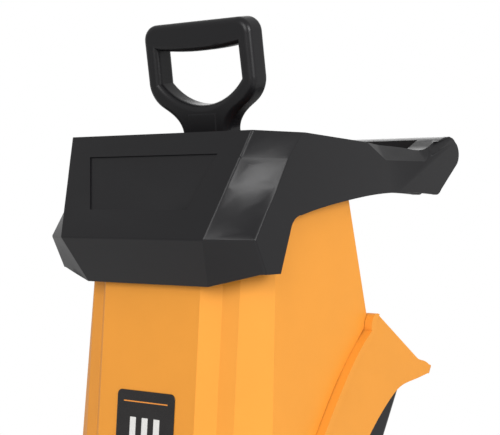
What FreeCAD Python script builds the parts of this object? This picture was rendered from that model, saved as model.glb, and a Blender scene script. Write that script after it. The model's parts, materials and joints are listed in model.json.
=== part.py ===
"""Electric garden wood chipper: an orange feed tower with a black hood and tow handle stands on a tilted cutter head.

Units are millimetres. +Z is up, the badge faces -Y and the tow handle points to +Y. The origin is on the ground,
at the centre of the outline.
"Head" coordinates are tilted with the motor: the head origin is the centre of the cutter disc, head +Z runs up the
spindle, and head +Y runs backwards and down. head(shape) moves a shape from head coordinates to the part's own.
"""
import FreeCAD, Part

import math
import os

from FreeCAD import Placement, Rotation, Vector

# ---------------------------------------------------------------- driving dimensions
WALL = 3.0                      # moulded wall thickness
GAP = 0.6                       # gap between neighbouring mouldings
CLEAR = 0.05                    # radial running clearance of a shaft

HEAD_TILT = 35.0                # spindle leans back from the vertical, degrees
HEAD_Y, HEAD_Z = -61.5, 466.7   # cutter disc centre

TOWER_TOP = 933.0
TOWER_REF = 797.0               # height at which the next four sizes hold
TOWER_FRONT, FRONT_SLOPE = -100.0, 0.077
TOWER_BACK, BACK_SLOPE = 88.5, 0.24
TOWER_HALF, SIDE_SLOPE = 108.9, 0.033
CORNER = [(56.5, 0.0), (71.0, 13.5), (87.2, 17.4)]   # stepped front corner: half width, set back from the front
CORNER_BACK = 40.0

CAP_RIM, CAP_MID, CAP_LOW = 940.0, 845.5, 804.0
CAP_HALF = 121.0
CREASE_R = 3.0
CAP_DECK = 936.5                # underside of the rim
CAP_BACK = 72.0
ARM_INNER = 93.0
HANDLE_BACK = 265.0
HANDLE_GAP_END = 224.0
GRIP_LOW = 904.0

DECK_Z = 24.0                   # head height of the deck plate's top
DECK_T = 6.0
HEAD_HALF = 124.0               # half width of the cutter head
HEAD_FRONT = -100.0
DRUM_FLOOR = -34.0
THROAT = (57.0, -85.0, -50.0)   # half width, front and back of the feed throat in the deck

SEAM = [(-34.4, 359.5), (-42.4, 326.4), (-57.6, 262.7), (-64.2, 197.1), (-66.0, 130.0), (-61.0, 80.0), (-55.0, 50.0),
        (-48.0, 24.0)]          # back of the tower against the motor unit: head Y, head Z

HOOD_TOP = 346.0
HOOD_HALF_TOP, HOOD_HALF_LOW = 117.0, 124.0
COWL_BACK = 48.0

MODULE, WHEEL_TEETH, PINION_TEETH = 1.25, 54, 12
CENTRES = MODULE * (WHEEL_TEETH + PINION_TEETH) / 2
MOTOR_Y = -4.0
MOTOR_X = math.sqrt(CENTRES ** 2 - MOTOR_Y ** 2)

DISC_R, DISC_T = 93.0, 8.0

PLUNGER_X, PLUNGER_Y, PLUNGER_Z = -5.0, -18.0, 945.5   # where the plunger's front face passes the rim
PLUNGER_LEAN = 9.65
PLUNGER_DEPTH = 26.0
GRIP_R = 6.5                    # rounding of the D-grip

HINGE_Y, HINGE_Z = -106.0, 30.0       # hopper hinge pin, head coordinates
LOCK_X, LOCK_Y, LOCK_Z = -75.0, -64.0, 200.0   # tip of the locking screw, head coordinates

TUBE_R = 11.0
LEG_X = 141.0
FOOT_Y, FOOT_Z = -250.0, 15.0
AXLE_Y, WHEEL_R = 150.0, 90.0
WHEEL_IN, WHEEL_OUT = 158.0, 200.0

HEAD = Placement(Vector(0, HEAD_Y, HEAD_Z), Rotation(Vector(1, 0, 0), -HEAD_TILT))
X, Y, Z = Vector(1, 0, 0), Vector(0, 1, 0), Vector(0, 0, 1)


# ---------------------------------------------------------------- helpers
def placed(shape, placement):
    moved = shape.copy()
    moved.Placement = placement.multiply(moved.Placement)
    return moved


def head(shape):
    return placed(shape, HEAD)


def box(x0, x1, y0, y1, z0, z1):
    return Part.makeBox(x1 - x0, y1 - y0, z1 - z0, Vector(x0, y0, z0))


def cyl(radius, start, axis, length):
    return Part.makeCylinder(radius, length, Vector(*start), axis)


def tube(outer, inner, start, axis, length):
    return cyl(outer, start, axis, length).cut(cyl(inner, start, axis, length))


def fuse(shapes):
    shapes = list(shapes)
    whole = shapes[0].fuse(shapes[1:]) if len(shapes) > 1 else shapes[0]
    return whole.removeSplitter()


def polygon(points):
    return Part.makePolygon([Vector(*p) for p in points] + [Vector(*points[0])])


def prism_x(wire, half):
    """Solid of a closed wire in the YZ plane, from -half to +half in X."""
    face = Part.Face(wire)
    face.translate(Vector(-half, 0, 0))
    return face.extrude(Vector(2 * half, 0, 0))


def prism_z(wire, height):
    return Part.Face(wire).extrude(Vector(0, 0, height))


def spline(points):
    curve = Part.BSplineCurve()
    curve.interpolate([Vector(*p) for p in points])
    return curve.toShape()


def line(a, b):
    return Part.makeLine(Vector(*a), Vector(*b))


def lines(points):
    return [line(a, b) for a, b in zip(points, points[1:])]


def rounded_rect(x0, x1, y0, y1, z, radius):
    """Closed wire of a rectangle with round corners, in a plane of constant Z."""
    edges = []
    corners = [(x1 - radius, y1 - radius, 0), (x0 + radius, y1 - radius, 90), (x0 + radius, y0 + radius, 180),
               (x1 - radius, y0 + radius, 270)]
    for cx, cy, start in corners:
        arc = Part.makeCircle(radius, Vector(cx, cy, z), Z, start, start + 90)
        if edges:
            edges.append(Part.makeLine(edges[-1].Vertexes[-1].Point, arc.Vertexes[0].Point))
        edges.append(arc)
    edges.append(Part.makeLine(edges[-1].Vertexes[-1].Point, edges[0].Vertexes[0].Point))
    return Part.Wire(edges)


def offset(wire, distance):
    return wire.makeOffset2D(distance, 2)


def bent_tube(points, bend, radius):
    """Round tube along straight runs joined by tangent arcs of one bend radius."""
    pts = [Vector(*p) for p in points]
    edges, start = [], pts[0]
    for before, corner, after in zip(pts, pts[1:], pts[2:]):
        u, v = (before - corner).normalize(), (after - corner).normalize()
        half = math.acos(max(-1.0, min(1.0, u.dot(v)))) / 2
        a, b = corner + u * (bend / math.tan(half)), corner + v * (bend / math.tan(half))
        middle = corner + (u + v).normalize() * (bend / math.sin(half) - bend)
        edges += [Part.makeLine(start, a), Part.Arc(a, middle, b).toShape()]
        start = b
    edges.append(Part.makeLine(start, pts[-1]))
    path = Part.Wire(edges)
    ring = Part.Wire(Part.makeCircle(radius, pts[0], (pts[1] - pts[0]).normalize()))
    return path.makePipeShell([ring], True, False)


def hollow_tube(points, bend, radius, wall):
    return bent_tube(points, bend, radius).cut(bent_tube(points, bend, radius - wall))


def screw(head_r, head_t, shank_r, length, start, axis):
    """Pan-head screw: the head sits at start, on the side away from axis, and the shank runs along axis."""
    place = Placement(Vector(*start), Rotation(Z, axis))
    body = cyl(shank_r, (0, 0, 0), Z, length)
    top = cyl(head_r, (0, 0, -head_t), Z, head_t)
    slot = box(-head_r, head_r, -0.5, 0.5, -head_t, -head_t * 0.55)
    return placed(body.fuse(top).cut(slot), place)


def hex_bolt(size, length, start, axis, nut_at=None):
    """Hexagon bolt with its head at start; nut_at puts a nut that far along the shank."""
    place = Placement(Vector(*start), Rotation(Z, axis))
    across = size * 1.0
    hexagon = polygon([(across * math.cos(math.radians(a)), across * math.sin(math.radians(a)), 0)
                       for a in range(0, 360, 60)])
    body = cyl(size / 2, (0, 0, 0), Z, length)
    top = prism_z(hexagon, size * 0.65)
    top.translate(Vector(0, 0, -size * 0.65))
    shape = body.fuse(top)
    if nut_at is not None:
        nut = prism_z(hexagon, size * 0.8)
        nut.translate(Vector(0, 0, nut_at))
        shape = shape.fuse(nut)
    return placed(shape.removeSplitter(), place)


PARTS = {}


def keep(name, shapes):
    """Registers a sub-part. Several separate solids make one node."""
    shapes = shapes if isinstance(shapes, list) else [shapes]
    solids = [s for shape in shapes for s in shape.Solids]
    PARTS[name] = Part.makeCompound(solids) if len(solids) > 1 else solids[0]


def drill(name, tools):
    """Cuts fasteners or bores out of a sub-part that is already kept."""
    solids = PARTS[name].cut(tools if isinstance(tools, list) else [tools]).Solids
    keep(name, solids)


# ---------------------------------------------------------------- feed tower
def tower_front(z):
    return TOWER_FRONT - FRONT_SLOPE * (TOWER_REF - z)


def tower_half(z):
    return TOWER_HALF + SIDE_SLOPE * (TOWER_REF - z)


def tower_back(z):
    return TOWER_BACK + BACK_SLOPE * (TOWER_REF - z)


def tower_section(z):
    """Outline of the tower at one height: flat front, stepped front corners, small back corners."""
    front, back, side, corner = tower_front(z), tower_back(z), tower_half(z), 2.5
    half = [(x, front + y) for x, y in CORNER] + [(side, front + CORNER_BACK), (side, back - corner),
                                                 (side - corner, back)]
    return polygon([(x, y, z) for x, y in half] + [(-x, y, z) for x, y in reversed(half)])


def tower_block(inset, low, high):
    return Part.makeLoft([offset(tower_section(z), -inset) if inset else tower_section(z) for z in (low, high)],
                         True, True)


def seam_points(shift):
    return [(0, y + shift, z) for y, z in SEAM]


def tower_side(shift, top, deck):
    """Side outline of the tower: cut by the deck plane below and by the seam behind."""
    seam = spline(seam_points(shift))
    seam.Placement = HEAD
    seam_top, seam_low = seam.Vertexes[0].Point, seam.Vertexes[-1].Point
    deck_end = HEAD.multVec(Vector(0, SEAM[-1][0] + shift - 4, deck))
    deck_front = HEAD.multVec(Vector(0, -190, deck))
    far = [seam_low, deck_end, deck_front, Vector(0, deck_front.y, top), Vector(0, 220, top),
           Vector(0, 220, seam_top.z), seam_top]
    edges = [seam] + [Part.makeLine(a, b) for a, b in zip(far, far[1:]) if (a - b).Length > 1e-6]
    return Part.Wire(edges)


def tower_room():
    """Space inside the tower's walls."""
    return tower_block(WALL, 420, TOWER_TOP + 20).common(
        prism_x(tower_side(-WALL, TOWER_TOP + 15, DECK_Z - 8), 160))


def feed_tower():
    outer = tower_block(0, 430, TOWER_TOP + 10).common(prism_x(tower_side(0, TOWER_TOP, DECK_Z), 160))
    outer = outer.cut(head(box(-200, 200, -300, 300, 0, DECK_Z + 0.5)))
    inner = tower_room()
    shell = outer.cut(inner)
    knuckles = []
    for x0, x1 in ((-52, -34), (34, 52)):
        lug = cyl(8, (x0, HINGE_Y, HINGE_Z), X, x1 - x0)
        arm = prism_x(polygon([(0, HINGE_Y - 2, HINGE_Z + 7.7), (0, HINGE_Y + 8, HINGE_Z), (0, HINGE_Y + 16, HINGE_Z - 4),
                               (0, HINGE_Y + 12, HINGE_Z + 9), (0, HINGE_Y, HINGE_Z + 26)]), (x1 - x0) / 2)
        arm.translate(Vector((x0 + x1) / 2, 0, 0))
        knuckles.append(head(lug.fuse(arm)))
    boss = head(lock_boss(11, -4, 16))
    shell = fuse([shell] + [k.cut(inner) for k in knuckles] + [boss.cut(inner)])
    pin_bore = head(cyl(4 + CLEAR, (-60, HINGE_Y, HINGE_Z), X, 120))
    socket = head(lock_boss(4.7, 3, 30))
    keep("feed_tower", shell.cut([pin_bore, socket]))


def lock_axis():
    """Direction of the locking screw in head coordinates: the way the hopper swings at that point."""
    arm = Vector(0, LOCK_Y - HINGE_Y, LOCK_Z - HINGE_Z)
    return Vector(0, arm.z, -arm.y).normalize()


def lock_reach():
    """Length from the screw's tip mark to the back of the cowl, along the screw."""
    return (COWL_BACK - LOCK_Y) / lock_axis().y


def lock_boss(radius, start, length):
    axis = lock_axis()
    base = Vector(LOCK_X, LOCK_Y, LOCK_Z) + axis * start
    return Part.makeCylinder(radius, length, base, axis)


def feed_funnel():
    """Sheet steel funnel from the tower's width down to the feed throat."""
    top_z, t = 118.0, 2.0

    def ring(inset):
        half, front, back = THROAT
        low = polygon([(half - inset, front + inset, DECK_Z), (half - inset, back - inset, DECK_Z),
                       (-half + inset, back - inset, DECK_Z), (-half + inset, front + inset, DECK_Z)])
        high = polygon([(108 - inset, -135 + inset, top_z), (108 - inset, -71.5 - inset, top_z),
                        (-108 + inset, -71.5 - inset, top_z), (-108 + inset, -135 + inset, top_z)])
        return Part.makeLoft([low, high], True, True)

    funnel = ring(0).cut(ring(t)).cut(box(-200, 200, -200, 0, 0, DECK_Z + 0.5))
    keep("feed_funnel", head(funnel).common(tower_room()))


def badge():
    """Thin plate on the tower's front, with round corners."""
    half, height, low = 34.0, 66.0, 641.0
    plate = prism_z(rounded_rect(-half, half, 0, height, 0, 5), 0.8)
    lean = math.degrees(math.atan(FRONT_SLOPE))
    place = Placement(Vector(0, tower_front(low), low), Rotation(X, 90 - lean))
    keep("badge", placed(plate, place))


# ---------------------------------------------------------------- hood on top of the tower
def cap_level(z, corner_front, corner_side, back, inset=0.0):
    (xa, ya), (xb, yb) = corner_front, corner_side
    wire = polygon([(xa, ya, z), (xb, yb, z), (xb, back, z), (-xb, back, z), (-xb, yb, z), (-xa, ya, z)])
    return offset(wire, -inset) if inset else wire


CAP_LEVELS = [(CAP_LOW - 4, (70.0, -105.5), (CAP_HALF, -81.5)), (CAP_MID, (83.7, -131.0), (CAP_HALF, -106.0)),
              (891.0, (95.2, -112.2), (CAP_HALF, -73.0)), (916.0, (101.6, -101.9), (CAP_HALF, -57.0)),
              (CAP_RIM, (107.7, -92.0), (CAP_HALF, -34.0))]


def cap_block(inset, top):
    """The faceted hood as one block, cut off level at the top."""
    blocks = []
    for (z0, a0, b0), (z1, a1, b1) in zip(CAP_LEVELS, CAP_LEVELS[1:]):
        blocks.append(Part.makeLoft([cap_level(z0, a0, b0, CAP_BACK, inset), cap_level(z1, a1, b1, CAP_BACK, inset)],
                                    True, True))
    block = fuse(blocks)
    return block.common(box(-200, 200, -200, 300, 700, top))


def handle_side():
    """Side outline of the hood and its tow handle: a low skirt in front, a notch, and an arm that rises at its end."""
    low = [(-200, 790), (-64.5, 790), (-68.2, 815.3), (-52.5, 854.5)]
    notch = Part.Arc(Vector(0, -52.5, 854.5), Vector(0, -47.8, 861.5), Vector(0, -36.4, 866.1)).toShape()
    under = spline([(0, -36.4, 866.1), (0, 6.7, 874.4), (0, 50, 880.6), (0, 98, 885.7), (0, 150, 887.6), (0, 211, 886)])
    tip_low = Part.Arc(Vector(0, 211, 886), Vector(0, 219, 886.5), Vector(0, 225, 891)).toShape()
    tip_back = line((0, 225, 891), (0, 261, 919))
    tip_high = Part.Arc(Vector(0, 261, 919), Vector(0, HANDLE_BACK, 930.5), Vector(0, 257, 942)).toShape()
    crown = Part.Arc(Vector(0, 257, 942), Vector(0, 248, 947), Vector(0, 238, 947)).toShape()
    rise = spline([(0, 238, 947), (0, 224, 944), (0, 209, 937), (0, 196, 932.5), (0, 168, 932.4), (0, 112, 934),
                   (0, 50, 936.5), (0, -30, CAP_RIM)])
    back = [(-30, CAP_RIM), (-200, CAP_RIM), (-200, 790)]
    edges = lines([(0, y, z) for y, z in low]) + [notch, under, tip_low, tip_back, tip_high, crown, rise]
    return Part.Wire(edges + lines([(0, y, z) for y, z in back]))


def arm_bevel(s):
    """Wedge that bevels the outer top edge of one arm, fading out at both ends."""
    sections = []
    for y, crease, top, inset in ((70, 937, 938, 0.4), (111, 918, 936, 9), (190, 919, 935, 9), (252, 944, 949, 0.4)):
        sections.append(polygon([(s * (CAP_HALF + 0.5), y, crease), (s * (CAP_HALF + 0.5), y, top),
                                 (s * (CAP_HALF - inset), y, top)]))
    return Part.makeLoft(sections, True, True)


def front_recess():
    """Shallow trapezoid panel let into the hood's front."""
    (z0, a0), (z1, a1) = ((z, a[1]) for z, a, _ in (CAP_LEVELS[1], CAP_LEVELS[-1]))
    slope = (a1 - a0) / (z1 - z0)
    corners = [(-57, 871), (57, 871), (76, 920), (-76, 920)]
    face = Part.Face(polygon([(x, a0 + slope * (z - z0) - 4, z) for x, z in corners]))
    return face.extrude(Vector(0, 5.4, 0))


def crease_edges(block):
    """Edges of the hood's front facets, which are moulded with a small radius."""
    return [e for e in block.Edges if e.CenterOfMass.y < 0 and e.CenterOfMass.z < CAP_RIM - 1
            and e.CenterOfMass.z > CAP_LOW + 2 and abs(e.CenterOfMass.z - 891) > 0.5]


def hopper_cap():
    rim_x = CAP_HALF + 1
    side = prism_x(handle_side(), rim_x)
    front = polygon([(-71.2, -200, CAP_LOW), (71.2, -200, CAP_LOW), (116, -200, 815.3), (140, -200, 815.3),
                     (140, -200, 1000), (-140, -200, 1000), (-140, -200, 815.3), (-116, -200, 815.3)])
    front = Part.Face(front).extrude(Vector(0, 600, 0))
    block = cap_block(0, CAP_RIM)
    block = block.makeFillet(CREASE_R, crease_edges(block))
    hood = block.common(side).common(front)
    arms = box(-CAP_HALF, CAP_HALF, CAP_BACK - 20, HANDLE_BACK, 850, 960).common(side)
    gap = box(-ARM_INNER, ARM_INNER, CAP_BACK - 30, HANDLE_GAP_END, 840, 970)
    under_grip = box(-ARM_INNER, ARM_INNER, CAP_BACK, HANDLE_BACK + 5, 840, GRIP_LOW)
    arms = arms.cut([gap, under_grip])
    body = fuse([hood, arms]).cut([arm_bevel(-1), arm_bevel(1), front_recess()])
    cavity = cap_block(WALL, CAP_DECK)
    cavity = cavity.fuse(cap_block(WALL, CAP_LOW + 6).common(box(-200, 200, -200, 300, 700, 830)))
    below = cap_level(CAP_LOW - 5, *CAP_LEVELS[0][1:], CAP_BACK, WALL)
    cavity = cavity.fuse(prism_z(below, 8))
    pockets = [box(s * (CAP_HALF - 12) - 8.5, s * (CAP_HALF - 12) + 8.5, CAP_BACK, 236, 850, 922) for s in (-1, 1)]
    grip_pocket = box(-ARM_INNER + 4, ARM_INNER - 4, 233, 250, 880, 934)
    body = body.cut([cavity, grip_pocket] + pockets)
    mouth = offset(tower_section(TOWER_TOP), -WALL - GAP)
    collar = prism_z(mouth, CAP_RIM - TOWER_TOP + 38)
    collar.translate(Vector(0, 0, -38))
    opening = prism_z(offset(mouth, -WALL), 90)
    opening.translate(Vector(0, 0, -45))
    body = fuse([body, collar.common(side)]).cut(opening)
    keep("hopper_cap", body)


# ---------------------------------------------------------------- plunger
PLUNGER = Placement(Vector(PLUNGER_X, PLUNGER_Y, PLUNGER_Z), Rotation(X, PLUNGER_LEAN))


def half_outline(right):
    """Closed wire from the points of its right half, mirrored, in the plunger's own XZ plane."""
    return right + [(-x, z) for x, z in reversed(right) if x > 0]


def plunger():
    """Push stick: a D-shaped grip, a flat neck and a rectangular foot that fills the feed shaft."""
    lower = spline([(28, 0, 0), (32, 0, 9.5), (43.5, 0, 20), (55, 0, 28), (62.4, 0, 38.5), (64.5, 0, 50)])
    side = line((64.5, 0, 50), (64.5, 0, 90))
    shoulder = Part.Arc(Vector(64.5, 0, 90), Vector(60.1, 0, 100.6), Vector(49.5, 0, 105)).toShape()
    half = [lower, side, shoulder]
    mirrored = [edge.mirror(Vector(0, 0, 0), X) for edge in half]
    ends = [line((49.5, 0, 105), (-49.5, 0, 105)), line((-28, 0, 0), (28, 0, 0))]
    frame = Part.Face(Part.Wire(Part.sortEdges(half + mirrored + ends)[0])).extrude(Vector(0, PLUNGER_DEPTH, 0))
    bowl = Part.Arc(Vector(49, 0, 48), Vector(0, 0, 25), Vector(-49, 0, 48)).toShape()
    under = Part.Arc(Vector(-48.5, 0, 80), Vector(0, 0, 76.5), Vector(48.5, 0, 80)).toShape()
    hole = Part.Face(Part.Wire([bowl, line((-49, 0, 48), (-48.5, 0, 80)), under, line((48.5, 0, 80), (49, 0, 48))]))
    hole = hole.extrude(Vector(0, PLUNGER_DEPTH + 4, 0))
    hole.translate(Vector(0, -2, 0))
    frame = frame.cut(hole)
    rims = [e for e in frame.Edges if e.BoundBox.YLength < 0.1 and e.BoundBox.ZMax > 2]
    frame = frame.makeFillet(GRIP_R, rims)
    panel = Part.makeLoft([polygon([(-16, -1.2, 16), (16, -1.2, 16), (12, -1.2, -60), (-12, -1.2, -60)]),
                           polygon([(-18, 1, 18), (18, 1, 18), (14, 1, -62), (-14, 1, -62)])], True, True)
    neck = Part.makeLoft([rounded_rect(-28, 28, 0, PLUNGER_DEPTH, 3, GRIP_R), rounded_rect(-31, 31, 1, 25, -190, 6)],
                         True, True)
    foot = Part.makeLoft([rounded_rect(-36, 36, -2, 30, -175, 6), rounded_rect(-54, 54, -8, 49, -198, 10),
                          rounded_rect(-54, 54, -8, 49, -214, 10)], True, True)
    keep("plunger", placed(fuse([frame, neck, panel, foot]), PLUNGER))


# ---------------------------------------------------------------- motor unit covers
def unit_block(inset, back, corner, low, high):
    """Block of the motor unit in head coordinates, with round back corners."""
    sections = []
    for z in (low, high):
        share = (z - DECK_Z) / (HOOD_TOP - DECK_Z)
        half = HOOD_HALF_LOW + (HOOD_HALF_TOP - HOOD_HALF_LOW) * share - inset
        arc_r = Part.makeCircle(corner, Vector(half - corner, back - corner, z), Z, 0, 90)
        arc_l = Part.makeCircle(corner, Vector(corner - half, back - corner, z), Z, 90, 180)
        sections.append(Part.Wire([
            arc_r, line((half - corner, back, z), (corner - half, back, z)), arc_l,
            line((-half, back - corner, z), (-half, -130, z)), line((-half, -130, z), (half, -130, z)),
            line((half, -130, z), (half, back - corner, z))]))
    return Part.makeLoft(sections, True, True)


HOOD_LAP, HOOD_RIM = 0.8, 1.5
HOOD_TIP = [(55, 344.8), (61.6, 346.4), (68.5, 349.3), (76, 351.3), (82, 351.9)]
HOOD_FLARE = [(85, 343.8), (79.4, 338.8), (65.5, 326.5), (51.8, 315.1), (41.2, 304.8), (32.7, 292.1), (25.9, 277.3),
              (20, 261.7), (12.6, 237), (5, 195), (0, 140), (-1, 80), (2, DECK_Z)]


def side_curve(points):
    return spline([(0, y, z) for y, z in points])


def hood_edge(shift):
    """Front edge of the motor hood along the seam, from the deck up to the brow."""
    return [(y + shift, z) for y, z in reversed(SEAM[2:])] + [(-49.8 + shift, 300), (-42.5 + shift, 320)]


def closed(edges):
    return Part.Wire(Part.sortEdges(edges)[0])


def hood_side():
    """Side outline of the motor hood: seam in front, level roof, upturned rain lip and a hollow sweep below it."""
    start, low = hood_edge(HOOD_LAP)[-1], hood_edge(HOOD_LAP)[0]
    brow = side_curve([start, (-46.5, 331), (-44.8, 337.5), (-40.5, 340.6), (-34.7, 341)])
    nose = Part.Arc(Vector(0, 82, 351.9), Vector(0, 89.5, 349), Vector(0, 85, 343.8)).toShape()
    return closed([side_curve(hood_edge(HOOD_LAP)), brow, line((0, -34.7, 341), (0, *HOOD_TIP[0])),
                   side_curve(HOOD_TIP), nose, side_curve(HOOD_FLARE), line((0, *HOOD_FLARE[-1]), (0, *low))])


def behind(shift, top):
    """Everything behind a line that follows the hood's front edge at a distance."""
    edge = side_curve(hood_edge(shift) + [(-46 + shift, 331), (-44 + shift, top)])
    ends = sorted((v.Point for v in edge.Vertexes), key=lambda point: point.z)
    far = [ends[1], Vector(0, ends[1].y, 420), Vector(0, 220, 420), Vector(0, 220, -10), Vector(0, ends[0].y, -10), ends[0]]
    return prism_x(closed([edge] + [Part.makeLine(a, b) for a, b in zip(far, far[1:])]), 160)


def hood_room():
    """Space under the hood, inside its roof, its rear wall and the narrow return along its upper front edge."""
    roof = [(-160, 337.4), (55, 341.6), (66, 345.2), (74, 348), (80, 347.6), (77.3, 341.5), (63.6, 329.4), (51, 318.6),
            (49.6, 312), (200, 312), (200, 0), (-160, 0)]
    room = unit_block(WALL, 200, 5, 0, 370).common(prism_x(polygon([(0, y, z) for y, z in roof]), 150))
    middle = room.common(box(-95, 95, -300, 300, -10, 400))
    low = room.common(box(-150, 150, -300, 300, -10, 112))
    return [middle, low, room.common(behind(HOOD_LAP + 2.8, 345))]


def motor_hood():
    outer = unit_block(-HOOD_RIM, 91, 8, DECK_Z - 1, 360).common(prism_x(hood_side(), 150))
    skin = unit_block(-6, 130, 8, 0, 380).cut(unit_block(0, 92, 8, -5, 385))
    shell = head(outer.cut([skin.common(behind(HOOD_LAP + 7.5, 345))] + hood_room()))
    tower = tower_block(-GAP, 420, TOWER_TOP).common(prism_x(tower_side(0.3, TOWER_TOP, DECK_Z), 160))
    shell = shell.cut(tower)
    keep("motor_hood", max(shell.Solids, key=lambda solid: solid.Volume))


def motor_cowl():
    seam = spline(seam_points(8.4)[1:])
    low, high = seam.Vertexes[-1].Point, seam.Vertexes[0].Point
    top = 337.0
    outline = Part.Wire(Part.sortEdges([seam, line(high, (0, high.y + 3, top)), line((0, high.y + 3, top), (0, 100, top)),
                                        line((0, 100, top), (0, 100, DECK_Z)), line((0, 100, DECK_Z), low)])[0])
    outer = unit_block(WALL + GAP, COWL_BACK, 9, DECK_Z - 1, 350).common(prism_x(outline, 150))
    inner = unit_block(2 * WALL + GAP, COWL_BACK - WALL, 6, 0, top - WALL)
    shell = outer.cut(inner)
    slots = [box(x, x + 38, COWL_BACK - 8, COWL_BACK + 8, z, z + 3.2) for x in (-98, 60) for z in range(232, 300, 8)]
    shell = fuse([shell, lock_boss(10, lock_reach() - 9, 15)]).cut(slots + [lock_boss(4 + CLEAR, 30, 120)])
    keep("motor_cowl", head(shell))
    keep("interlock_switch", head(box(-130, -86, -48, -30, 264, 288).common(inner)))


# ---------------------------------------------------------------- cutter head
def head_outline(inset, z):
    """D-shaped outline: straight front with round corners, half round back."""
    half, front, corner = HEAD_HALF - inset, HEAD_FRONT + inset, 22.0 - inset
    left = Part.makeCircle(corner, Vector(corner - half, front + corner, z), Z, 180, 270)
    right = Part.makeCircle(corner, Vector(half - corner, front + corner, z), Z, 270, 360)
    back = Part.makeCircle(half, Vector(0, 0, z), Z, 0, 180)
    return Part.Wire([line((-half, 0, z), (-half, front + corner, z)), left,
                      line((corner - half, front, z), (half - corner, front, z)), right,
                      line((half, front + corner, z), (half, 0, z)), back])


BOLT_SPOTS = [(-110, -30), (110, -30), (-84, 76), (84, 76), (-30, 109), (30, 109), (-108, -84), (108, -84)]


def deck_plate():
    """Cast top of the cutter head, which carries the spindle boss, the motor unit and the hopper hinge."""
    half, front, back = THROAT
    plate = prism_z(head_outline(0, DECK_Z - DECK_T), DECK_T)
    boss = cyl(26, (0, 0, DECK_Z - DECK_T), Z, 22)
    throat = box(-half, half, front, back, 0, 40)
    lugs = []
    for x0, x1 in ((-70, -53), (-33, 33), (53, 70)):
        lug = cyl(8, (x0, HINGE_Y, HINGE_Z), X, x1 - x0)
        foot = prism_x(polygon([(0, HEAD_FRONT + 4, DECK_Z - DECK_T), (0, HEAD_FRONT + 4, DECK_Z - 1),
                                (0, HINGE_Y + 5, HINGE_Z + 1), (0, HINGE_Y - 8, HINGE_Z), (0, HINGE_Y - 4, HINGE_Z - 7)]),
                       (x1 - x0) / 2)
        foot.translate(Vector((x0 + x1) / 2, 0, 0))
        lugs.append(lug.fuse(foot))
    deck = fuse([plate, boss] + lugs).cut([throat, cyl(17.5, (0, 0, DECK_Z + 3), Z, 30), cyl(9, (0, 0, 0), Z, 60),
                                           cyl(4 + CLEAR, (-80, HINGE_Y, HINGE_Z), X, 160)])
    keep("deck_plate", head(deck))


def cutter_housing():
    """Drum round the cutter disc, open above and with a wide outlet in its floor."""
    height = DECK_Z - DECK_T - DRUM_FLOOR
    drum = prism_z(head_outline(0, DRUM_FLOOR), height)
    room = prism_z(head_outline(4, DRUM_FLOOR + 4), height)
    outlet = box(-75, 75, -80, 60, DRUM_FLOOR - 2, DRUM_FLOOR + 6)
    posts = [cyl(7, (x, y, DRUM_FLOOR + 2), Z, height - 2) for x, y in BOLT_SPOTS]
    posts = [p.common(prism_z(head_outline(0.5, DRUM_FLOOR), height)) for p in posts]
    pads = []
    for s in (-1, 1):
        for y, _ in LEG_PADS:
            pads.append(box(min(s * (HEAD_HALF - 2), s * (LEG_X - TUBE_R)), max(s * (HEAD_HALF - 2), s * (LEG_X - TUBE_R)),
                            y - 14, y + 14, -26, 8) if y < 0 else
                        box(min(s * 100, s * (LEG_X - TUBE_R)), max(s * 100, s * (LEG_X - TUBE_R)), y - 14, y + 14, -26, 8)
                        .cut(prism_z(head_outline(2, -30), 50)))
    keep("cutter_housing", head(fuse([drum.cut(room)] + posts + pads).cut(outlet)))


LEG_PADS = [(-62.0, -9.0), (52.0, -9.0)]   # head Y and Z of the leg bolts


def discharge_chute():
    """Four-sided duct under the drum, leaning forward to its mouth, with a flange against the drum floor."""
    def duct(inset):
        return Part.makeLoft([rounded_rect(-79 + inset, 79 - inset, -150 + inset, -28 - inset, 520, 8 - inset),
                              rounded_rect(-79 + inset, 79 - inset, -150 + inset, -28 - inset, 400, 8 - inset),
                              rounded_rect(-90 + inset, 90 - inset, -196 + inset, -46 - inset, 285, 8 - inset)],
                             True, True)
    below = head(box(-200, 200, -300, 300, DRUM_FLOOR - 400, DRUM_FLOOR))
    flange = head(box(-88, 88, -93, 73, DRUM_FLOOR - 4, DRUM_FLOOR))
    tube_ = duct(0).common(below)
    inner = duct(WALL)
    keep("discharge_chute", fuse([tube_, flange]).cut(inner))


# ---------------------------------------------------------------- spindle, disc and blades
def cutter_disc():
    disc = cyl(DISC_R, (0, 0, -DISC_T / 2), Z, DISC_T)
    hub = cyl(24, (0, 0, -16), Z, 16)
    slots, paddles = [], []
    for turn in (0, 180):
        slot = box(34, 86, -2, 12, -20, 20)
        slots.append(slot.rotate(Vector(0, 0, 0), Z, turn) or slot)
    for turn in (45, 135, 225, 315):
        paddle = box(22, 86, -2.5, 2.5, -20, -DISC_T / 2)
        paddle.rotate(Vector(0, 0, 0), Z, turn)
        paddles.append(paddle)
    disc = fuse([disc, hub] + paddles).cut(slots + [cyl(7.5, (0, 0, -30), Z, 60)])
    keep("cutter_disc", head(disc))


def blades():
    plates, screws = [], []
    for turn in (0, 180):
        outline = polygon([(32, -28, 0), (86, -28, 0), (88, 0, 0), (84, 6, 0), (34, 6, 0), (32, 0, 0)])
        blade = prism_z(outline, 4)
        blade.translate(Vector(0, 0, DISC_T / 2))
        blade = blade.cut(prism_x(polygon([(0, 1, 4), (0, 7, 4), (0, 7, 7)]), 100))
        pair = [screw(5.5, 2.0, 3, 9, (x, -17, DISC_T / 2 + 2), Z * -1) for x in (46, 74)]
        for shape in [blade] + pair:
            shape.rotate(Vector(0, 0, 0), Z, turn)
        plates.append(blade)
        screws += pair
    screws = [s.common(cyl(200, (0, 0, -DISC_T / 2), Z, 100)) for s in screws]
    keep("cutter_blades", [head(b.cut(screws)) for b in plates])
    keep("blade_screws", [head(s) for s in screws])
    drill("cutter_disc", PARTS["blade_screws"])


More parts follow.
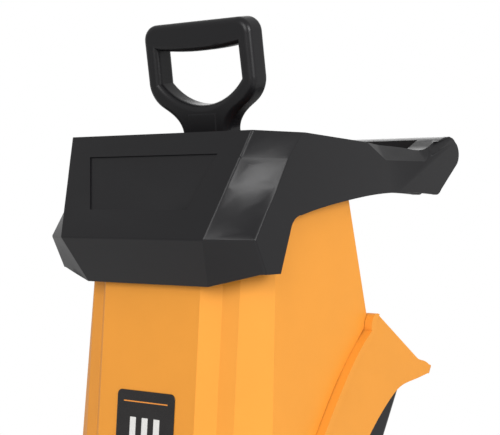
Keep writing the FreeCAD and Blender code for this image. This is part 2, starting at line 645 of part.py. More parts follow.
def counter_blade():
    half, front, back = THROAT
    bar = box(half, half + 14, front, back, 9.5, DECK_Z - DECK_T)
    spots = [(half + 7, y) for y in (front + 17, back - 9)]
    bolts = [screw(4, 2.5, 2.5, 13, (x, y, DECK_Z), Z * -1) for x, y in spots]
    keep("counter_blade", head(bar.cut(bolts)))
    keep("counter_blade_screws", [head(b) for b in bolts])
    drill("deck_plate", PARTS["counter_blade_screws"])


def spindle_train():
    spindle = fuse([cyl(7.5, (0, 0, -18), Z, 84), cyl(6, (0, 0, 66), Z, 14), cyl(11, (0, 0, DISC_T / 2), Z, 12)])
    keep("spindle", head(spindle))
    bolt = hex_bolt(8, 14, (0, 0, -20), Z)
    washer = tube(14, 4, (0, 0, -20), Z, 2).fuse(tube(14, 7.5, (0, 0, -18), Z, 2)).removeSplitter()
    keep("disc_bolt", [head(bolt), head(washer)])
    drill("spindle", PARTS["disc_bolt"])


def ball_bearing(outer, inner, width, start):
    """Shielded ball bearing: its races and shields show as two grooved rings."""
    body = tube(outer, inner + CLEAR, start, Z, width)
    middle = (outer + inner) / 2
    for z in (start[2], start[2] + width - 0.6):
        body = body.cut(tube(middle + (outer - inner) * 0.2, middle - (outer - inner) * 0.2, (start[0], start[1], z), Z,
                             0.6))
    return body


def gear_outline(teeth, z, backlash=0.12):
    """Closed wire of a spur gear: involute flanks from a few points each."""
    pitch = MODULE * teeth / 2
    base = pitch * math.cos(math.radians(20))
    tip, root = pitch + MODULE, pitch - 1.25 * MODULE
    pressure = math.tan(math.radians(20)) - math.radians(20)
    half_tooth = math.pi / (2 * teeth) - backlash / (2 * pitch)
    points = []
    for n in range(teeth):
        middle = 2 * math.pi * n / teeth
        flank = []
        for k in range(5):
            r = max(base, root) + (tip - max(base, root)) * k / 4
            roll = math.acos(min(1.0, base / r))
            flank.append((r, half_tooth + pressure - (math.tan(roll) - roll)))
        foot = [(root, flank[0][1])] if base > root else []
        side = foot + flank
        points += [(r, middle - a) for r, a in side] + [(r, middle + a) for r, a in reversed(side)]
    return polygon([(r * math.cos(a), r * math.sin(a), z) for r, a in points])


def gear_train():
    wheel = prism_z(gear_outline(WHEEL_TEETH, 48), 12)
    wheel = wheel.cut([cyl(7.5, (0, 0, 40), Z, 30), tube(27, 14, (0, 0, 57), Z, 10), tube(27, 14, (0, 0, 40), Z, 11)])
    angle = math.degrees(math.atan2(MOTOR_Y, MOTOR_X))
    wheel.rotate(Vector(0, 0, 0), Z, angle)
    keep("driven_gear", head(wheel))
    pinion = prism_z(gear_outline(PINION_TEETH, 47), 14)
    pinion.rotate(Vector(0, 0, 0), Z, angle + 180 + 180.0 / PINION_TEETH)
    pinion.translate(Vector(MOTOR_X, MOTOR_Y, 0))
    keep("pinion", head(pinion.cut(motor_cyl(4, 40, 30))))


def motor_cyl(radius, z, length):
    return cyl(radius, (MOTOR_X, MOTOR_Y, z), Z, length)


def motor_tube(outer, inner, z, length):
    return tube(outer, inner, (MOTOR_X, MOTOR_Y, z), Z, length)


def gear_case():
    """Cast cup over the two gears, with seats for the upper spindle bearing and the lower motor bearing."""
    def cup(extra, low, high):
        length = high - low
        bridge = box(0, MOTOR_X, MOTOR_Y - 12 - extra, MOTOR_Y + 12 + extra, low, high)
        return fuse([cyl(36.5 + extra, (0, 0, low), Z, length), cyl(12 + extra, (MOTOR_X, MOTOR_Y, low), Z, length), bridge])
    ears = [(-31, 31), (-31, -31), (16, -41), (MOTOR_X + 20, MOTOR_Y)]
    outer = fuse([cup(3.5, DECK_Z, 66), cyl(18, (0, 0, 66), Z, 12), motor_cyl(17, 66, 12), motor_cyl(45, 62, 4)] +
                 [cyl(6, (x, y, DECK_Z), Z, 6) for x, y in ears])
    inner = [cup(0, DECK_Z - 1, 62), cyl(14, (0, 0, 60), Z, 17), cyl(8, (0, 0, 60), Z, 30), motor_cyl(13, 69, 12),
             motor_cyl(8, 40, 40)]
    screws = [head(screw(4.5, 2.5, 2.5, 11, (x, y, DECK_Z + 6), Z * -1)) for x, y in ears]
    keep("gear_case_screws", screws)
    drill("deck_plate", screws)
    keep("gear_case", head(outer.cut(inner)).cut(screws))


# ---------------------------------------------------------------- motor
def motor():
    shaft = fuse([motor_cyl(4, 44, 22), motor_cyl(5, 66, 196)])
    keep("motor_shaft", head(shaft))
    seats = [(17.5, 7.5, 11, (0, 0, DECK_Z + 3)), (14, 6, 8, (0, 0, 69)), (13, 5, 8, (MOTOR_X, MOTOR_Y, 69)),
             (13, 5, 8, (MOTOR_X, MOTOR_Y, 250))]
    keep("ball_bearings", [head(ball_bearing(*seat)) for seat in seats])
    hub = motor_tube(11, 5, 82, 20)
    web = motor_tube(33, 5, 82, 2.5)
    vanes = []
    for k in range(11):
        vane = box(10, 32.5, -1, 1, 84, 100)
        vane.rotate(Vector(0, 0, 0), Z, 360.0 * k / 11)
        vane.translate(Vector(MOTOR_X, MOTOR_Y, 0))
        vanes.append(vane)
    keep("cooling_fan", head(fuse([hub, web] + vanes).cut(motor_cyl(5, 70, 60))))
    slots = []
    for k in range(16):
        slot = box(19, 28.5, -1.6, 1.6, 110, 196)
        slot.rotate(Vector(0, 0, 0), Z, 360.0 * k / 16)
        slot.translate(Vector(MOTOR_X, MOTOR_Y, 0))
        slots.append(slot)
    keep("armature_core", head(motor_tube(27.5, 5, 118, 70).cut(slots)))
    keep("armature_windings", [head(motor_tube(24, 6, z, 11)) for z in (107, 188)])
    bars = [box(13, 16, -0.4, 0.4, 204, 232) for _ in range(16)]
    for k, bar in enumerate(bars):
        bar.rotate(Vector(0, 0, 0), Z, 360.0 * k / 16)
        bar.translate(Vector(MOTOR_X, MOTOR_Y, 0))
    keep("commutator", head(motor_tube(15, 5, 206, 22).cut(bars)))
    core = motor_tube(44, 28.3, 118, 70)
    flats = [box(MOTOR_X - 60, MOTOR_X + 60, MOTOR_Y + s * 55 - 14, MOTOR_Y + s * 55 + 14, 100, 200) for s in (-1, 1)]
    windows = [box(MOTOR_X + s * 36 - 4.5, MOTOR_X + s * 36 + 4.5, MOTOR_Y - 16, MOTOR_Y + 16, 110, 196) for s in (-1, 1)]
    keep("stator_core", head(core.cut(flats + windows)))
    coils = [box(MOTOR_X + s * 36 - 4.5, MOTOR_X + s * 36 + 4.5, MOTOR_Y - 15.5, MOTOR_Y + 15.5, 108, 198) for s in (-1, 1)]
    keep("field_coils", [head(c) for c in coils])
    seat = motor_tube(17, 13, 248, 12)
    web = motor_tube(17, 6, 258, 4)
    rim = motor_tube(42, 36, 236, 6)
    arms = [box(MOTOR_X - 41, MOTOR_X + 41, MOTOR_Y - 6, MOTOR_Y + 6, 240, 250),
            box(MOTOR_X - 6, MOTOR_X + 6, MOTOR_Y - 42, MOTOR_Y + 42, 240, 250)]
    bracket = fuse([seat, web, rim] + arms).cut([motor_cyl(13, 200, 58), motor_cyl(6, 200, 80)])
    keep("motor_end_bracket", head(bracket))
    keep("motor_bolts", [head(screw(4.5, 3, 2.5, 188, (MOTOR_X, MOTOR_Y + y, 250), Z * -1)) for y in (-37, 37)])
    for name in ("motor_end_bracket", "stator_core", "gear_case"):
        drill(name, PARTS["motor_bolts"])
    holders, carbons = [], []
    for s in (-1, 1):
        x0, x1 = sorted((MOTOR_X + s * 17, MOTOR_X + s * 34.5))
        holder = box(x0, x1, MOTOR_Y - 7, MOTOR_Y + 7, 208, 240)
        c0, c1 = sorted((MOTOR_X + s * 15.05, MOTOR_X + s * 34))
        carbon = box(c0, c1, MOTOR_Y - 4, MOTOR_Y + 4, 211, 223)
        holders.append(head(holder.cut(carbon)))
        carbons.append(head(carbon))
    keep("brush_holders", holders)
    keep("carbon_brushes", carbons)


# ---------------------------------------------------------------- controls on the back of the cowl
BOX = (-46.0, 46.0, COWL_BACK, 84.0, 206.0, 288.0)   # switch box, head coordinates


def controls():
    x0, x1, y0, y1, z0, z1 = BOX
    wire = rounded_rect(x0, x1, z0, z1, 0, 8)
    turn = Rotation(X, 90)
    outer = placed(prism_z(wire, y1 - y0), Placement(Vector(0, y1, 0), turn))
    inner = placed(prism_z(offset(wire, -WALL), y1 - y0), Placement(Vector(0, y1 - WALL, 0), turn))
    buttons = {"start_button": (-22, 262, 8.5), "stop_button": (22, 262, 8.5), "reset_button": (0, 226, 5.0)}
    rims, holes = [], []
    for bx, bz, r in buttons.values():
        rims.append(tube(r + 3.5, r + 0.4, (bx, y1, bz), Y, 2.5))
        holes.append(cyl(r + 0.4, (bx, y1 - 8, bz), Y, 16))
    keep("switch_box", head(fuse([outer.cut(inner)] + rims).cut(holes)))
    for name, (bx, bz, r) in buttons.items():
        cap = fuse([cyl(r, (bx, y1 - 9, bz), Y, 14), cyl(r + 1.6, (bx, y1 - 9, bz), Y, 2)])
        keep(name, head(cap))
    shroud = prism_z(rounded_rect(-23, 23, 50, 82, 170, 10), z0 - 170)
    room = prism_z(rounded_rect(-20, 20, 53, 79, 165, 7), z0 - 170)
    keep("power_inlet", head(shroud.cut(room)))
    keep("inlet_pins", [head(cyl(2.4, (s * 9.5, 66, 180), Z, z0 - 180 - 5)) for s in (-1, 1)])
    keep("capacitor", head(prism_z(rounded_rect(-82, -50, 21, COWL_BACK - WALL, 240, 3), 44)))


def lock_knob():
    axis = lock_axis()
    tip = Vector(LOCK_X, LOCK_Y, LOCK_Z)
    reach = lock_reach()
    shank = Part.makeCylinder(4, reach + 14, tip + axis * 6, axis)
    place = Placement(tip + axis * (reach + 6.5), Rotation(Z, axis))
    body = fuse([cyl(15, (0, 0, 0), Z, 20)] +
                [cyl(8, (17 * math.cos(math.radians(a)), 17 * math.sin(math.radians(a)), 4), Z, 16) for a in range(0, 360, 72)])
    body = placed(body, place)
    keep("lock_screw", head(shank))
    keep("lock_knob", head(body.cut(shank)))


# ---------------------------------------------------------------- stand and wheels
def leg_points(s):
    top = HEAD.multVec(Vector(0, LEG_PADS[0][0], LEG_PADS[0][1]))
    foot = Vector(0, FOOT_Y, FOOT_Z)
    up = (top - foot).normalize()
    end = top + up * 20
    return [(s * LEG_X, end.y, end.z), (s * LEG_X, foot.y, foot.z)]


def rear_leg_points(s):
    top = HEAD.multVec(Vector(0, LEG_PADS[1][0], LEG_PADS[1][1]))
    low = Vector(0, AXLE_Y, WHEEL_R)
    up = (top - low).normalize()
    end, start = top + up * 20, low - up * 16
    return [(s * LEG_X, end.y, end.z), (s * LEG_X, start.y, start.z)]


def stand():
    left, right = leg_points(-1), leg_points(1)
    front = hollow_tube([left[0], left[1], right[1], right[0]], 45, TUBE_R, 1.5)
    rear = [hollow_tube(rear_leg_points(s), 1, TUBE_R, 1.5) for s in (-1, 1)]
    tie_z = 230.0
    (_, y0, z0), (_, y1, z1) = rear_leg_points(1)
    tie_y = y0 + (y1 - y0) * (z0 - tie_z) / (z0 - z1)
    tie = tube(8, 6.5, (-LEG_X, tie_y, tie_z), X, 2 * LEG_X)
    bores = [bent_tube(rear_leg_points(s), 1, TUBE_R - 0.2) for s in (-1, 1)]
    axle_bore = cyl(6, (-200, AXLE_Y, WHEEL_R), X, 400)
    keep("front_leg_frame", front)
    keep("rear_leg_frame", fuse(rear + [tie.cut(bores)]).cut(axle_bore))
    bolts = []
    for s in (-1, 1):
        for y, z in LEG_PADS:
            spot = HEAD.multVec(Vector(0, y, z))
            bolts.append(hex_bolt(8, 2 * TUBE_R + 18, (s * (LEG_X + TUBE_R), spot.y, spot.z), X * -s))
    keep("leg_bolts", bolts)
    for name in ("front_leg_frame", "rear_leg_frame", "cutter_housing"):
        drill(name, PARTS["leg_bolts"])
    braces, rivets = [], []
    for s in (-1, 1):
        ends = []
        for (_, ya, za), (_, yb, zb) in (leg_points(s), rear_leg_points(s)):
            ends.append(ya + (yb - ya) * (za - 150.0) / (za - zb))
        x0, x1 = sorted((s * (LEG_X - TUBE_R - 3), s * (LEG_X - TUBE_R)))
        brace = box(x0, x1, ends[0] - 12, ends[1] + 12, 141, 159)
        for y in ends:
            rivets.append(hex_bolt(6, 2 * TUBE_R + 8, (s * (LEG_X - TUBE_R - 3), y, 150), X * s, 2 * TUBE_R + 3))
        braces.append(brace)
    keep("brace_bolts", rivets)
    keep("side_braces", braces)
    for name in ("side_braces", "front_leg_frame", "rear_leg_frame"):
        drill(name, PARTS["brace_bolts"])
    feet = [tube(FOOT_Z, TUBE_R, (x, FOOT_Y, FOOT_Z), X, 34) for x in (-92, 58)]
    keep("rubber_feet", feet)
    spans = [(LEG_X + TUBE_R, WHEEL_IN - 0.5), (-WHEEL_IN + 0.5, -LEG_X - TUBE_R)]
    keep("axle_spacers", [tube(9, 6, (x0, AXLE_Y, WHEEL_R), X, x1 - x0) for x0, x1 in spans])
    keep("axle", cyl(6, (-WHEEL_OUT - 6, AXLE_Y, WHEEL_R), X, 2 * WHEEL_OUT + 12))


def wheels():
    for side, s in (("left", -1), ("right", 1)):
        x0, x1 = sorted((s * WHEEL_IN, s * WHEEL_OUT))
        width = x1 - x0
        centre = (x0, AXLE_Y, WHEEL_R)
        hub = tube(17, 6 + CLEAR, centre, X, width)
        rim = tube(WHEEL_R - 16, WHEEL_R - 21, centre, X, width)
        web = tube(WHEEL_R - 19, 15, (x0 + width * 0.4, AXLE_Y, WHEEL_R), X, 6)
        spokes = []
        for k in range(6):
            spoke = box(x0 + 4, x1 - 4, AXLE_Y - 4, AXLE_Y + 4, WHEEL_R + 14, WHEEL_R * 2 - 18)
            spoke.rotate(Vector(0, AXLE_Y, WHEEL_R), X, 60 * k)
            spokes.append(spoke)
        keep("wheel_hub_" + side, fuse([hub, rim, web] + spokes))
        tyre = tube(WHEEL_R, WHEEL_R - 16, centre, X, width)
        edges = [e for e in tyre.Edges if len(e.Vertexes) == 1 and e.Curve.Radius > WHEEL_R - 1]
        tyre = tyre.makeFillet(6, edges)
        grooves = []
        for k in range(24):
            for lane in (0, 1):
                groove = box(x0 + width * (0.08 + 0.46 * lane), x0 + width * (0.46 + 0.46 * lane), AXLE_Y - 2.2, AXLE_Y + 2.2,
                             2 * WHEEL_R - 3, 2 * WHEEL_R + 3)
                groove.rotate(Vector(0, AXLE_Y, WHEEL_R), X, 15 * k + 7.5 * lane)
                grooves.append(groove)
        keep("tyre_" + side, tyre.cut(grooves))
    caps = [cyl(11, (x, AXLE_Y, WHEEL_R), X, 8).cut(PARTS["axle"]) for x in (-WHEEL_OUT - 8.5, WHEEL_OUT + 0.5)]
    keep("axle_caps", caps)


# ---------------------------------------------------------------- fasteners
def fasteners():
    bolts = []
    for x, y in BOLT_SPOTS:
        bolts.append(hex_bolt(6, 34, (x, y, DECK_Z), Z * -1))
    keep("housing_bolts", [head(b) for b in bolts])
    for name in ("deck_plate", "cutter_housing"):
        drill(name, PARTS["housing_bolts"])
    back = [screw(4.5, 2.2, 2.2, 20, (x, CAP_BACK, 905), Y * -1) for x in (-70, 0, 70)]
    keep("cap_screws", back)
    drill("hopper_cap", PARTS["cap_screws"])
    drill("feed_tower", PARTS["cap_screws"])
    pin = cyl(4, (-71, HINGE_Y, HINGE_Z), X, 142)
    heads = [cyl(6, (x, HINGE_Y, HINGE_Z), X, 3) for x in (-73, 70)]
    keep("hinge_pin", head(fuse([pin] + heads)))
    chute = [head(screw(4.5, 2.4, 2.2, 8, (x, y, DRUM_FLOOR - 4), Z)) for x in (-83.5, 83.5) for y in (-60, 40)]
    drill("discharge_chute", chute)
    drill("cutter_housing", chute)
    side = []
    for s in (-1, 1):
        for z in (60, 118):
            share = (z - DECK_Z) / (HOOD_TOP - DECK_Z)
            half = HOOD_HALF_LOW + (HOOD_HALF_TOP - HOOD_HALF_LOW) * share
            side.append(head(screw(4.5, 2.4, 2.2, 8, (s * half, -16, z), X * -s)))
    keep("cover_screws", chute + side)
    drill("motor_hood", side)
    drill("motor_cowl", side)


def main():
    feed_tower()
    feed_funnel()
    badge()
    hopper_cap()
    plunger()
    motor_hood()
    motor_cowl()
    deck_plate()
    cutter_housing()
    discharge_chute()
    cutter_disc()
    blades()
    counter_blade()
    spindle_train()
    gear_train()
    gear_case()
    motor()
    controls()
    lock_knob()
    stand()
    wheels()
    fasteners()
    os.makedirs("parts", exist_ok=True)
    for name, shape in PARTS.items():
        print(f"{name:22s} solids {len(shape.Solids):2d} valid {shape.isValid()} volume {shape.Volume / 1000:9.1f} cm3")
        shape.exportStep(f"parts/{name}.step")


main()
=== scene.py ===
"""Looks of a garden wood chipper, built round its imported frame. Metres, +Z up, badge towards -Y."""

import json
import math

import bmesh
import bpy
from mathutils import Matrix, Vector


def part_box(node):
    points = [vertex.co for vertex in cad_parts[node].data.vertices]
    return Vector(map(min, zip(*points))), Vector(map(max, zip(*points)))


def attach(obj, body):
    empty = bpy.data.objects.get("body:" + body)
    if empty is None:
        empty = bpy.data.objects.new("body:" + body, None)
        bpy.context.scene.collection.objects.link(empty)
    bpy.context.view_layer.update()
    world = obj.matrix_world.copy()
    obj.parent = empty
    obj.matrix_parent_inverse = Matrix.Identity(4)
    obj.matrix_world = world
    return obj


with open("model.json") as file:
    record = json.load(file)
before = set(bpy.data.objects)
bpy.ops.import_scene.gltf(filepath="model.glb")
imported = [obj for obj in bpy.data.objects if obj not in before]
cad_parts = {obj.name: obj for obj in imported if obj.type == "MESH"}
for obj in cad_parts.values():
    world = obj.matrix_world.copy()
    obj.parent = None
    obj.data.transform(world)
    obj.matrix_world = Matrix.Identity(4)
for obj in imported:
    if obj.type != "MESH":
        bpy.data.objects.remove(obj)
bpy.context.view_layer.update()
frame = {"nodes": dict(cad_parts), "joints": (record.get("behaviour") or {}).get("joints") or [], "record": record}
NODES = frame["nodes"]
SLOT_OF = {part["node"]: part["material_slot"] for part in frame["record"]["subparts"]}
MM = 0.001


# ---------------------------------------------------------------- building blocks of the materials
def add(tree, kind, **values):
    """New node, with inputs or settings given by name."""
    node = tree.nodes.new(kind)
    for key, value in values.items():
        if key in node.inputs:
            node.inputs[key].default_value = value
        else:
            setattr(node, key, value)
    return node


def shader(name):
    """New material: returns it, its node tree, its Principled BSDF and the object coordinates."""
    mat = bpy.data.materials.new(name)
    mat.use_nodes = True
    tree = mat.node_tree
    return mat, tree, tree.nodes["Principled BSDF"], add(tree, "ShaderNodeTexCoord").outputs["Object"]


def noise(tree, coords, scale, detail=4.0, rough=0.55):
    node = add(tree, "ShaderNodeTexNoise", Scale=scale, Detail=detail, Roughness=rough)
    tree.links.new(coords, node.inputs["Vector"])
    return node.outputs["Fac"]


def ramp(tree, value, *stops):
    """Colour that runs with a value from one stop to another; each stop is (value, colour)."""
    node = add(tree, "ShaderNodeValToRGB")
    for element, (position, colour) in zip(node.color_ramp.elements, stops):
        element.position, element.color = position, (*colour, 1)
    tree.links.new(value, node.inputs["Fac"])
    return node.outputs["Color"]


def spread(tree, value, low, high):
    """Value from 0 to 1 brought to the range from low to high."""
    node = add(tree, "ShaderNodeMapRange")
    node.inputs["To Min"].default_value, node.inputs["To Max"].default_value = low, high
    tree.links.new(value, node.inputs["Value"])
    return node.outputs["Result"]


def bump(tree, height, strength, distance, before=None):
    """Relief of a depth in metres, over an earlier relief if there is one."""
    node = add(tree, "ShaderNodeBump", Strength=strength, Distance=distance)
    tree.links.new(height, node.inputs["Height"])
    if before is not None:
        tree.links.new(before, node.inputs["Normal"])
    return node.outputs["Normal"]


def within(tree, value, low, high):
    """1 where a value lies between low and high, else 0."""
    node = add(tree, "ShaderNodeMath", operation="COMPARE")
    tree.links.new(value, node.inputs[0])
    node.inputs[1].default_value, node.inputs[2].default_value = (low + high) / 2, (high - low) / 2
    return node.outputs[0]


def shade(colour, factor):
    return tuple(min(1.0, c * factor) for c in colour)


# ---------------------------------------------------------------- kinds of surface
def plastic(name, colour, rough, depth=0.00006, patch=0.06, specular=0.5):
    """Moulded plastic: eroded grain, faint flow marks and a slightly uneven gloss."""
    mat, tree, bsdf, coords = shader(name)
    flow = noise(tree, coords, scale=9.0, detail=3.0)
    grain = noise(tree, coords, scale=2200.0, detail=2.0, rough=0.6)
    cloud = noise(tree, coords, scale=60.0, detail=5.0)
    tree.links.new(ramp(tree, flow, (0.3, shade(colour, 1 - patch)), (0.7, shade(colour, 1 + patch))),
                   bsdf.inputs["Base Color"])
    tree.links.new(spread(tree, cloud, *rough), bsdf.inputs["Roughness"])
    relief = bump(tree, cloud, strength=0.05, distance=0.0004)
    tree.links.new(bump(tree, grain, strength=0.35, distance=depth, before=relief), bsdf.inputs["Normal"])
    bsdf.inputs["Specular IOR Level"].default_value = specular
    return mat


def metal(name, colour, rough, stretch=(1.0, 1.0, 1.0), scale=400.0, depth=0.00002):
    """Bare or plated metal with fine machining or rolling marks, stretched along an axis."""
    mat, tree, bsdf, coords = shader(name)
    mapping = add(tree, "ShaderNodeMapping", Scale=stretch)
    tree.links.new(coords, mapping.inputs["Vector"])
    marks = noise(tree, mapping.outputs["Vector"], scale=scale, detail=6.0, rough=0.7)
    patches = noise(tree, coords, scale=35.0)
    tree.links.new(ramp(tree, patches, (0.25, shade(colour, 0.85)), (0.75, shade(colour, 1.15))),
                   bsdf.inputs["Base Color"])
    tree.links.new(spread(tree, marks, *rough), bsdf.inputs["Roughness"])
    tree.links.new(bump(tree, marks, strength=0.3, distance=depth), bsdf.inputs["Normal"])
    bsdf.inputs["Metallic"].default_value = 1.0
    return mat


def painted(name, colour, rough):
    """Powder coat: orange-peel relief over a nearly even colour."""
    mat, tree, bsdf, coords = shader(name)
    peel = noise(tree, coords, scale=900.0, detail=2.0)
    patches = noise(tree, coords, scale=25.0)
    tree.links.new(ramp(tree, patches, (0.3, shade(colour, 0.85)), (0.7, shade(colour, 1.15))),
                   bsdf.inputs["Base Color"])
    tree.links.new(spread(tree, patches, *rough), bsdf.inputs["Roughness"])
    tree.links.new(bump(tree, peel, strength=0.4, distance=0.00008), bsdf.inputs["Normal"])
    return mat


MIX_GROUND, MIX_INK, MIX_RESULT = 6, 7, 2    # the colour sockets of a Mix node


def printed(name, ground, rough, inks):
    """Glossy label: dark ground with plain printed bars; each ink is (x0, x1, z0, z1, colour) in metres."""
    mat, tree, bsdf, coords = shader(name)
    place = add(tree, "ShaderNodeSeparateXYZ")
    tree.links.new(coords, place.inputs["Vector"])
    cloud = noise(tree, coords, scale=90.0)
    colour = ramp(tree, cloud, (0.3, shade(ground, 0.9)), (0.7, shade(ground, 1.15)))
    for x0, x1, z0, z1, ink in inks:
        mask = add(tree, "ShaderNodeMath", operation="MULTIPLY")
        tree.links.new(within(tree, place.outputs["X"], x0, x1), mask.inputs[0])
        tree.links.new(within(tree, place.outputs["Z"], z0, z1), mask.inputs[1])
        mix = add(tree, "ShaderNodeMix", data_type="RGBA")
        tree.links.new(mask.outputs[0], mix.inputs["Factor"])
        tree.links.new(colour, mix.inputs[MIX_GROUND])
        mix.inputs[MIX_INK].default_value = (*ink, 1)
        colour = mix.outputs[MIX_RESULT]
    tree.links.new(colour, bsdf.inputs["Base Color"])
    tree.links.new(spread(tree, cloud, *rough), bsdf.inputs["Roughness"])
    return mat


# ---------------------------------------------------------------- print on the badge
PALE, AMBER = (0.75, 0.74, 0.72), (0.85, 0.30, 0.04)
RULE_HALF, RULE_HEIGHT, RULE_OFF = 0.026, 0.001, 0.023      # thin lines above and below
BAR_HALF, BAR_TALL_HALF, BAR_PITCH = 0.0035, 0.009, 0.014   # three bars between them; all in metres


def badge_inks():
    """The badge's lines and bars, placed from its middle."""
    low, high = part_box("badge")
    x, z = (low.x + high.x) / 2, (low.z + high.z) / 2
    inks = [(x - RULE_HALF, x + RULE_HALF, z + off - RULE_HEIGHT / 2, z + off + RULE_HEIGHT / 2, AMBER)
            for off in (RULE_OFF, -RULE_OFF)]
    inks += [(x + off - BAR_HALF, x + off + BAR_HALF, z - BAR_TALL_HALF, z + BAR_TALL_HALF, PALE)
             for off in (-BAR_PITCH, 0, BAR_PITCH)]
    return inks


# ---------------------------------------------------------------- materials
ORANGE = (0.80, 0.314, 0.037)
FINISHES = {    # slot: (kind of surface, colour, lowest and highest roughness, other values)
    "orange_shell": (plastic, ORANGE, (0.44, 0.54), {"patch": 0.03, "specular": 0.3}),
    "black_shell": (plastic, (0.0072, 0.0069, 0.0080), (0.30, 0.38), {"patch": 0.10, "specular": 0.34}),
    "badge_print": (printed, (0.0105, 0.0090, 0.0090), (0.22, 0.32), {"inks": badge_inks()}),
    "black_knob": (plastic, (0.014, 0.014, 0.015), (0.45, 0.6), {"patch": 0.12}),
    "deck_casting": (metal, (0.50, 0.51, 0.52), (0.45, 0.62), {"scale": 1500.0, "depth": 0.0001}),
    "housing_plastic": (plastic, (0.017, 0.017, 0.018), (0.5, 0.65), {"depth": 0.0001, "patch": 0.12}),
    "funnel_sheet": (metal, (0.52, 0.53, 0.53), (0.32, 0.5), {"stretch": (1, 1, 0.1)}),
    "zinc_fastener": (metal, (0.60, 0.61, 0.60), (0.25, 0.4), {}),
    "tool_steel": (metal, (0.50, 0.51, 0.53), (0.18, 0.32), {"stretch": (0.15, 1, 1), "scale": 700.0}),
    "machined_steel": (metal, (0.46, 0.46, 0.47), (0.2, 0.35), {}),
    "disc_steel": (painted, (0.08, 0.08, 0.085), (0.35, 0.5), {}),
    "laminations": (metal, (0.22, 0.21, 0.20), (0.4, 0.6),
                    {"stretch": (0.2, 0.2, 6.0), "scale": 300.0, "depth": 0.0001}),
    "copper_winding": (metal, (0.60, 0.22, 0.08), (0.3, 0.45),
                       {"stretch": (1, 1, 5), "scale": 300.0, "depth": 0.0001}),
    "fan_plastic": (plastic, (0.55, 0.52, 0.44), (0.45, 0.6), {}),
    "carbon": (plastic, (0.02, 0.02, 0.02), (0.6, 0.8), {}),
    "capacitor_case": (plastic, (0.7, 0.66, 0.54), (0.4, 0.5), {}),
    "green_button": (plastic, (0.02, 0.30, 0.05), (0.25, 0.35), {"patch": 0.05}),
    "red_button": (plastic, (0.52, 0.012, 0.010), (0.25, 0.35), {"patch": 0.05}),
    "grey_button": (plastic, (0.16, 0.16, 0.17), (0.3, 0.4), {}),
    "brass_pin": (metal, (0.70, 0.56, 0.28), (0.2, 0.3), {}),
    "stand_tube": (painted, (0.020, 0.020, 0.021), (0.4, 0.55), {}),
    "axle_steel": (metal, (0.56, 0.57, 0.57), (0.25, 0.4), {"stretch": (0.1, 1, 1)}),
    "foot_rubber": (plastic, (0.018, 0.018, 0.018), (0.65, 0.8), {"depth": 0.00012}),
    "tyre_rubber": (plastic, (0.02, 0.02, 0.02), (0.7, 0.85), {"depth": 0.00015, "patch": 0.15}),
    "wheel_plastic": (plastic, (0.022, 0.022, 0.023), (0.42, 0.55), {"patch": 0.1}),
    "cap_orange": (plastic, ORANGE, (0.35, 0.45), {"patch": 0.03}),
}
MATERIALS = {slot: kind(slot, colour, rough, **others)
             for slot, (kind, colour, rough, others) in FINISHES.items()}


def dress(obj, slot_name):
    obj.data.materials.clear()
    obj.data.materials.append(MATERIALS[slot_name])


# ---------------------------------------------------------------- CAD nodes that stay
EDGE = {"feed_tower": 1.2, "motor_hood": 1.1, "motor_cowl": 1.0, "hopper_cap": 1.2, "switch_box": 0.9,
        "discharge_chute": 1.0, "cutter_housing": 1.0, "deck_plate": 0.9, "plunger": 0.8, "badge": 0.3,
        "wheel_hub_left": 0.8, "wheel_hub_right": 0.8, "tyre_left": 0.7, "tyre_right": 0.7}
PLAIN_EDGE = 0.4                        # edge width of every other node, millimetres
EDGE_STEPS = 3
WELD_GAP = 0.01 * MM
FACE_ANGLE = math.radians(0.4)          # facets that differ less than this are one face
CREASE_ANGLE = math.radians(28)         # edges sharper than this are rounded


def soften(obj, width):
    """Merges the imported facets back into faces and rounds the edges to a width in millimetres."""
    for polygon in obj.data.polygons:
        polygon.use_smooth = True
    weld = obj.modifiers.new("weld", "WELD")
    weld.merge_threshold = WELD_GAP
    flat = obj.modifiers.new("flat", "DECIMATE")
    flat.decimate_type, flat.angle_limit = "DISSOLVE", FACE_ANGLE
    edge = obj.modifiers.new("edge", "BEVEL")
    edge.width, edge.segments = width * MM, EDGE_STEPS
    edge.limit_method, edge.angle_limit = "ANGLE", CREASE_ANGLE
    smooth = obj.modifiers.new("normals", "WEIGHTED_NORMAL")
    smooth.weight, smooth.keep_sharp = 90, True


for node_name, node_obj in NODES.items():
    dress(node_obj, SLOT_OF[node_name])
    soften(node_obj, EDGE.get(node_name, PLAIN_EDGE))


# ---------------------------------------------------------------- pieces built here
SPIN = next(joint for joint in frame["joints"] if joint["name"] == "cutter_spin")
HEAD_CENTRE, HEAD_UP = Vector(SPIN["pos_m"]), Vector(SPIN["axis"])
HEAD_SIDE = Vector((1, 0, 0))
HEAD_BACK = HEAD_UP.cross(HEAD_SIDE)


def head_point(x, y, z):
    """World place of a point given in millimetres in the tilted frame of the cutter head."""
    return HEAD_CENTRE + (HEAD_SIDE * x + HEAD_BACK * y + HEAD_UP * z) * MM


def new_piece(name, solids, body, slot_name, edge):
    """Makes one mesh of (points, faces) solids, dresses it and hangs it on a body."""
    build = bmesh.new()
    for points, faces in solids:
        verts = [build.verts.new(point) for point in points]
        for face in faces:
            build.faces.new([verts[k] for k in face])
    bmesh.ops.recalc_face_normals(build, faces=build.faces)
    mesh = bpy.data.meshes.new(name)
    build.to_mesh(mesh)
    build.free()
    obj = bpy.data.objects.new(name, mesh)
    bpy.context.scene.collection.objects.link(obj)
    dress(obj, slot_name)
    soften(obj, edge)
    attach(obj, body)


